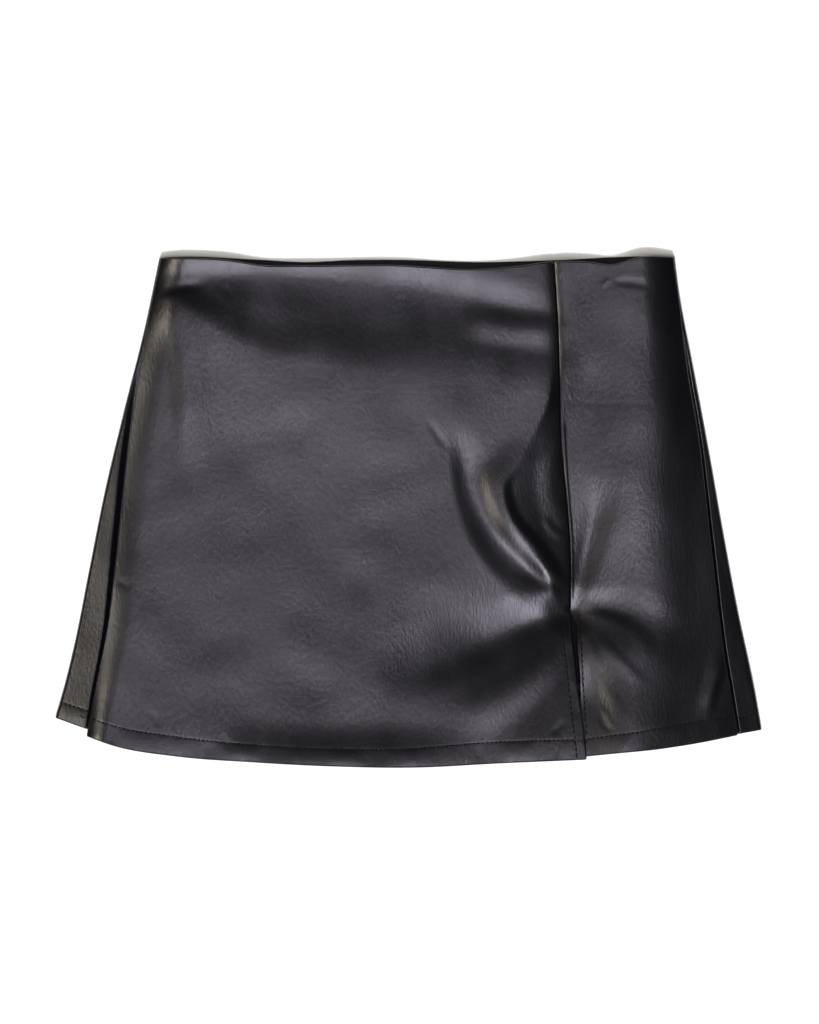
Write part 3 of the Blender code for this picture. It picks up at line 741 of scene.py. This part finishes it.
def stitches(row, material, out_of=1):
    """A row of short rounded threads, each laid along the surface."""
    place, direction = even_places(row.line, row.pitch)
    across = np.stack([-direction[:, 1], direction[:, 0]], axis=1)
    length = row.pitch * row.share
    share, width = np.array(STITCH_SHAPE).T
    turn = 2 * np.pi * np.arange(STITCH_SIDES) / STITCH_SIDES
    reach = (share[None, :] - 0.5) * length
    middle = place[:, None, :] + direction[:, None, :] * reach[..., None]
    height = row.surface(middle[..., 0], middle[..., 1])
    sunk = THREAD_RISE - THREAD * width
    ring = width[None, :, None] * THREAD * np.cos(turn)
    plan = middle[:, :, None, :] + across[:, None, None, :] * ring[..., None]
    lift = sunk[None, :, None] + width[None, :, None] * THREAD * np.sin(turn)
    z = height[:, :, None] + out_of * lift
    points = np.concatenate([plan, z[..., None]], axis=-1)
    return tubes_mesh(row.name, points, material, out_of)


def tubes_mesh(name, points, material, out_of=1):
    """Joined tubes with closed ends, from points[tube, ring, side]."""
    tubes, rings, sides = points.shape[:3]
    index = np.arange(tubes * rings * sides).reshape(tubes, rings, sides)
    here, ahead = index[:, :-1], index[:, 1:]
    beside = np.roll(here, -1, axis=2)
    quads = np.stack([here, beside, np.roll(ahead, -1, axis=2), ahead], axis=-1).reshape(-1, 4)
    faces = quads.tolist() + index[:, 0, ::-1].tolist() + index[:, -1].tolist()
    if out_of < 0:
        faces = [face[::-1] for face in faces]
    mesh = bpy.data.meshes.new(name)
    mesh.from_pydata((points.reshape(-1, 3) * MM).tolist(), [], faces)
    mesh.materials.append(material)
    mesh.shade_smooth()
    piece = bpy.data.objects.new(name, mesh)
    bpy.context.scene.collection.objects.link(piece)
    return piece


THREAD_TAIL = ((-222.0, -136.8), (-219.5, -139.5), (-217.5, -138.6), (-215.0, -141.0))
TAIL_RADIUS = 0.22


def thread_tail(material):
    """A loose end of thread on the left strip's hem."""
    plan = path_points(THREAD_TAIL, 24)
    height = strip_top(plan[:, 0], plan[:, 1]) + TAIL_RADIUS
    centre = np.column_stack([plan, height])
    along = unit(np.gradient(centre, axis=0))
    across = unit(np.cross(along, (0.0, 0.0, 1.0)))
    up = np.cross(across, along)
    turn = 2 * np.pi * np.arange(STITCH_SIDES) / STITCH_SIDES
    ring = across[:, None] * np.cos(turn)[:, None] + up[:, None] * np.sin(turn)[:, None]
    return tubes_mesh("thread_tail", (centre[:, None] + TAIL_RADIUS * ring)[None], material)


# Materials.
def new_material(name, color, roughness):
    material = bpy.data.materials.new(name)
    material.use_nodes = True
    shader = material.node_tree.nodes["Principled BSDF"]
    shader.inputs["Base Color"].default_value = (*color, 1.0)
    shader.inputs["Roughness"].default_value = roughness
    return material, shader


def node(material, kind, **settings):
    made = material.node_tree.nodes.new(kind)
    for name, value in settings.items():
        if name in made.inputs:
            made.inputs[name].default_value = value
        else:
            setattr(made, name, value)
    return made


def link(material, source, target):
    material.node_tree.links.new(source, target)


def stretched_place(material, scale):
    """Places on the cloth, with one scale for each direction."""
    place = node(material, "ShaderNodeTexCoord")
    mapping = node(material, "ShaderNodeMapping", Scale=scale)
    link(material, place.outputs["Object"], mapping.inputs["Vector"])
    return mapping.outputs["Vector"]


def mapped(material, source, low, high, into):
    """Feeds a 0 to 1 value into a socket, as a range."""
    span = node(material, "ShaderNodeMapRange")
    span.inputs["To Min"].default_value = low
    span.inputs["To Max"].default_value = high
    link(material, source, span.inputs["Value"])
    link(material, span.outputs["Result"], into)


def leather():
    """Black coated cloth: a soft gloss over a fine pebble grain that is drawn out up and down."""
    material, shader = new_material("black_coated_leather", (0.002, 0.002, 0.0025), 0.25)
    shader.inputs["IOR"].default_value = 1.5
    shader.inputs["Specular IOR Level"].default_value = 0.43
    shader.inputs["Specular Tint"].default_value = (0.93, 0.89, 1.0, 1.0)
    vector = stretched_place(material, (1.25, 0.45, 1.25))
    pebbles = node(material, "ShaderNodeTexVoronoi", feature="SMOOTH_F1", Scale=620.0, Smoothness=0.6)
    wrinkles = node(material, "ShaderNodeTexNoise", Scale=440.0, Detail=3.0, Roughness=0.55, Distortion=0.6)
    patches = node(material, "ShaderNodeTexNoise", Scale=34.0, Detail=3.0, Roughness=0.5)
    for texture in (pebbles, wrinkles, patches):
        link(material, vector, texture.inputs["Vector"])
    grain = node(material, "ShaderNodeMath", operation="ADD")
    link(material, pebbles.outputs["Distance"], grain.inputs[0])
    link(material, wrinkles.outputs["Fac"], grain.inputs[1])
    bump = node(material, "ShaderNodeBump", Strength=0.36, Distance=0.0001)
    link(material, grain.outputs["Value"], bump.inputs["Height"])
    link(material, bump.outputs["Normal"], shader.inputs["Normal"])
    mapped(material, patches.outputs["Fac"], 0.17, 0.31, shader.inputs["Roughness"])
    tone = node(material, "ShaderNodeMix", data_type="RGBA")
    tone.inputs["A"].default_value = (0.0012, 0.0012, 0.0015, 1.0)
    tone.inputs["B"].default_value = (0.0028, 0.0026, 0.0032, 1.0)
    link(material, wrinkles.outputs["Fac"], tone.inputs["Factor"])
    link(material, tone.outputs["Result"], shader.inputs["Base Color"])
    return material


def backing():
    """The cloth's inner side, a close black knit."""
    material, shader = new_material("black_knit_backing", (0.012, 0.012, 0.013), 0.92)
    vector = stretched_place(material, (1.0, 0.7, 1.0))
    knit = node(material, "ShaderNodeTexVoronoi", Scale=1100.0)
    link(material, vector, knit.inputs["Vector"])
    bump = node(material, "ShaderNodeBump", Strength=0.5, Distance=0.0002)
    link(material, knit.outputs["Distance"], bump.inputs["Height"])
    link(material, bump.outputs["Normal"], shader.inputs["Normal"])
    mapped(material, knit.outputs["Distance"], 0.85, 1.0, shader.inputs["Roughness"])
    return material


def jersey():
    """Matt black jersey of the shorts, with its fine upright ribs."""
    material, shader = new_material("black_jersey", (0.003, 0.003, 0.0035), 0.95)
    shader.inputs["Specular IOR Level"].default_value = 0.05
    shader.inputs["Sheen Weight"].default_value = 0.01
    shader.inputs["Sheen Roughness"].default_value = 0.6
    vector = stretched_place(material, (1.0, 1.0, 1.0))
    ribs = node(material, "ShaderNodeTexWave", wave_type="BANDS", bands_direction="X", Scale=260.0)
    ribs.inputs["Distortion"].default_value = 0.8
    fuzz = node(material, "ShaderNodeTexNoise", Scale=900.0, Detail=2.0)
    for texture in (ribs, fuzz):
        link(material, vector, texture.inputs["Vector"])
    height = node(material, "ShaderNodeMath", operation="ADD")
    link(material, ribs.outputs["Fac"], height.inputs[0])
    link(material, fuzz.outputs["Fac"], height.inputs[1])
    bump = node(material, "ShaderNodeBump", Strength=0.5, Distance=0.0002)
    link(material, height.outputs["Value"], bump.inputs["Height"])
    link(material, bump.outputs["Normal"], shader.inputs["Normal"])
    mapped(material, fuzz.outputs["Fac"], 0.88, 1.0, shader.inputs["Roughness"])
    return material


def thread():
    """Black polyester thread with a slight twist."""
    material, shader = new_material("black_thread", (0.002, 0.002, 0.002), 0.7)
    shader.inputs["Specular IOR Level"].default_value = 0.12
    vector = stretched_place(material, (1.0, 1.0, 1.0))
    twist = node(material, "ShaderNodeTexWave", wave_type="BANDS", bands_direction="DIAGONAL", Scale=1300.0)
    link(material, vector, twist.inputs["Vector"])
    bump = node(material, "ShaderNodeBump", Strength=0.4, Distance=0.0001)
    link(material, twist.outputs["Fac"], bump.inputs["Height"])
    link(material, bump.outputs["Normal"], shader.inputs["Normal"])
    mapped(material, twist.outputs["Fac"], 0.6, 0.8, shader.inputs["Roughness"])
    return material


def floor_material():
    material, shader = new_material("pale_floor", (0.95, 0.95, 0.95), 0.9)
    shader.inputs["Specular IOR Level"].default_value = 0.0
    return material


# Stage, light and camera.
FLOOR_SIZE = 40.0
Light = namedtuple("Light", "name place width height power color")
LAMP_COLOR = (0.97, 0.96, 1.0)
LIGHTS = (
    Light("long_softbox", (-1.1, -5.65, 16.0), 2.2, 10.8, 1290.0, LAMP_COLOR),
    Light("front_softbox", (0.3, -9.0, 16.0), 2.2, 2.2, 2660.0, LAMP_COLOR),
    Light("left_fill", (-6.9, -1.0, 16.0), 3.8, 3.8, 560.0, (1.0, 0.94, 0.72)),
)
# Low lamps all round give the cloth something to reflect from the sides. From above only the rims catch them.
LOW_LAMP_TURNS = (45, 135, 225, 315)  # degrees
LOW_LAMP_AWAY = 6.5
LOW_LAMP_HEIGHT = 2.6
LOW_LAMP_WIDTH = 10.0
LOW_LAMP_DEPTH = 3.0
LOW_LAMP_POWER = 60.0
WORLD_COLOR = (0.015, 0.015, 0.017)
PHOTO_WIDTH = 819
PHOTO_HEIGHT = 1024
MM_PER_PIXEL = 0.675
GARMENT_MIDDLE = (408.5, 511.5)  # where the middle of the outline lies in the photo
LENS = 400.0
SENSOR = 36.0
GARMENT_TOP = 8.0


def facing_centre(place):
    """Rotation that turns a lamp at this place to the garment."""
    x, y, z = place
    return (float(np.arctan2(np.hypot(x, y), z)), 0.0, float(np.arctan2(x, -y)))


def low_lamps():
    """Wide, weak lamps near the floor, one for each turn round the garment."""
    lamps = []
    for turn in LOW_LAMP_TURNS:
        angle = np.radians(turn)
        place = (LOW_LAMP_AWAY * float(np.cos(angle)), LOW_LAMP_AWAY * float(np.sin(angle)), LOW_LAMP_HEIGHT)
        name = "low_softbox_" + str(turn)
        lamps.append(Light(name, place, LOW_LAMP_WIDTH, LOW_LAMP_DEPTH, LOW_LAMP_POWER, LAMP_COLOR))
    return lamps


def stage():
    bpy.ops.mesh.primitive_plane_add(size=FLOOR_SIZE, location=(0, 0, 0))
    floor = bpy.context.object
    floor.name = "floor"
    floor.data.materials.append(floor_material())
    for light in (*LIGHTS, *low_lamps()):
        data = bpy.data.lights.new(light.name, "AREA")
        data.shape = "ELLIPSE"
        data.size = light.width
        data.size_y = light.height
        data.energy = light.power
        data.color = light.color
        lamp = bpy.data.objects.new(light.name, data)
        bpy.context.scene.collection.objects.link(lamp)
        lamp.location = light.place
        lamp.rotation_euler = facing_centre(light.place)
        lamp.visible_camera = False
    world = bpy.data.worlds.new("studio")
    world.use_nodes = True
    world.node_tree.nodes["Background"].inputs["Color"].default_value = (*WORLD_COLOR, 1.0)
    bpy.context.scene.world = world
    bpy.context.scene.view_settings.view_transform = "Standard"


def camera():
    """Straight above, so that the photo's frame is filled at its own scale."""
    data = bpy.data.cameras.new("camera")
    data.lens = LENS
    data.sensor_width = SENSOR
    height = PHOTO_HEIGHT * MM_PER_PIXEL * LENS / SENSOR + GARMENT_TOP
    eye = bpy.data.objects.new("camera", data)
    x = (PHOTO_WIDTH / 2 - GARMENT_MIDDLE[0]) * MM_PER_PIXEL
    y = (GARMENT_MIDDLE[1] - PHOTO_HEIGHT / 2) * MM_PER_PIXEL
    eye.location = (x * MM, y * MM, height * MM)
    bpy.context.scene.collection.objects.link(eye)
    bpy.context.scene.camera = eye


Sheet = namedtuple("Sheet", "node flat area rests_on slot")
SHEETS = (
    Sheet("wide_front", (0.340, 0.339), 0.102, ("shorts_left_leg", "shorts_right_leg", "back"), "leather"),
    Sheet("side_front", (0.107, 0.335), 0.0315, ("shorts_right_leg", "back"), "leather"),
    Sheet("back", (0.534, 0.338), 0.146, ("floor",), "leather"),
    Sheet("shorts_left_leg", (0.405, 0.271), 0.101, ("back",), "lining"),
    Sheet("shorts_right_leg", (0.396, 0.272), 0.101, ("back",), "lining"),
)


def place_piece(piece, node_name=None):
    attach(piece, "root")
    if node_name:
        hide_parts(node_name)


def main():
    skin, inside, knit, sewing = leather(), backing(), jersey(), thread()
    walls = {
        "wide_front": (wide_front(), skin, inside),
        "side_front": (side_front(), skin, inside),
        "back": (back_sheet(), skin, inside),
        "shorts_left_leg": (leg_sheet(-1), knit, knit),
        "shorts_right_leg": (leg_sheet(1), knit, knit),
    }
    for sheet in SHEETS:
        (points, thickness), outer, inner = walls[sheet.node]
        piece = wall_mesh(sheet.node + "_cloth", points, thickness, outer, inner)
        place_piece(piece, sheet.node)
    for row in (*stitch_rows(), *strip_rows()):
        place_piece(stitches(row, sewing))
    place_piece(stitches(underside_row(), sewing, out_of=-1))
    place_piece(thread_tail(sewing))
    stage()
    camera()


main()
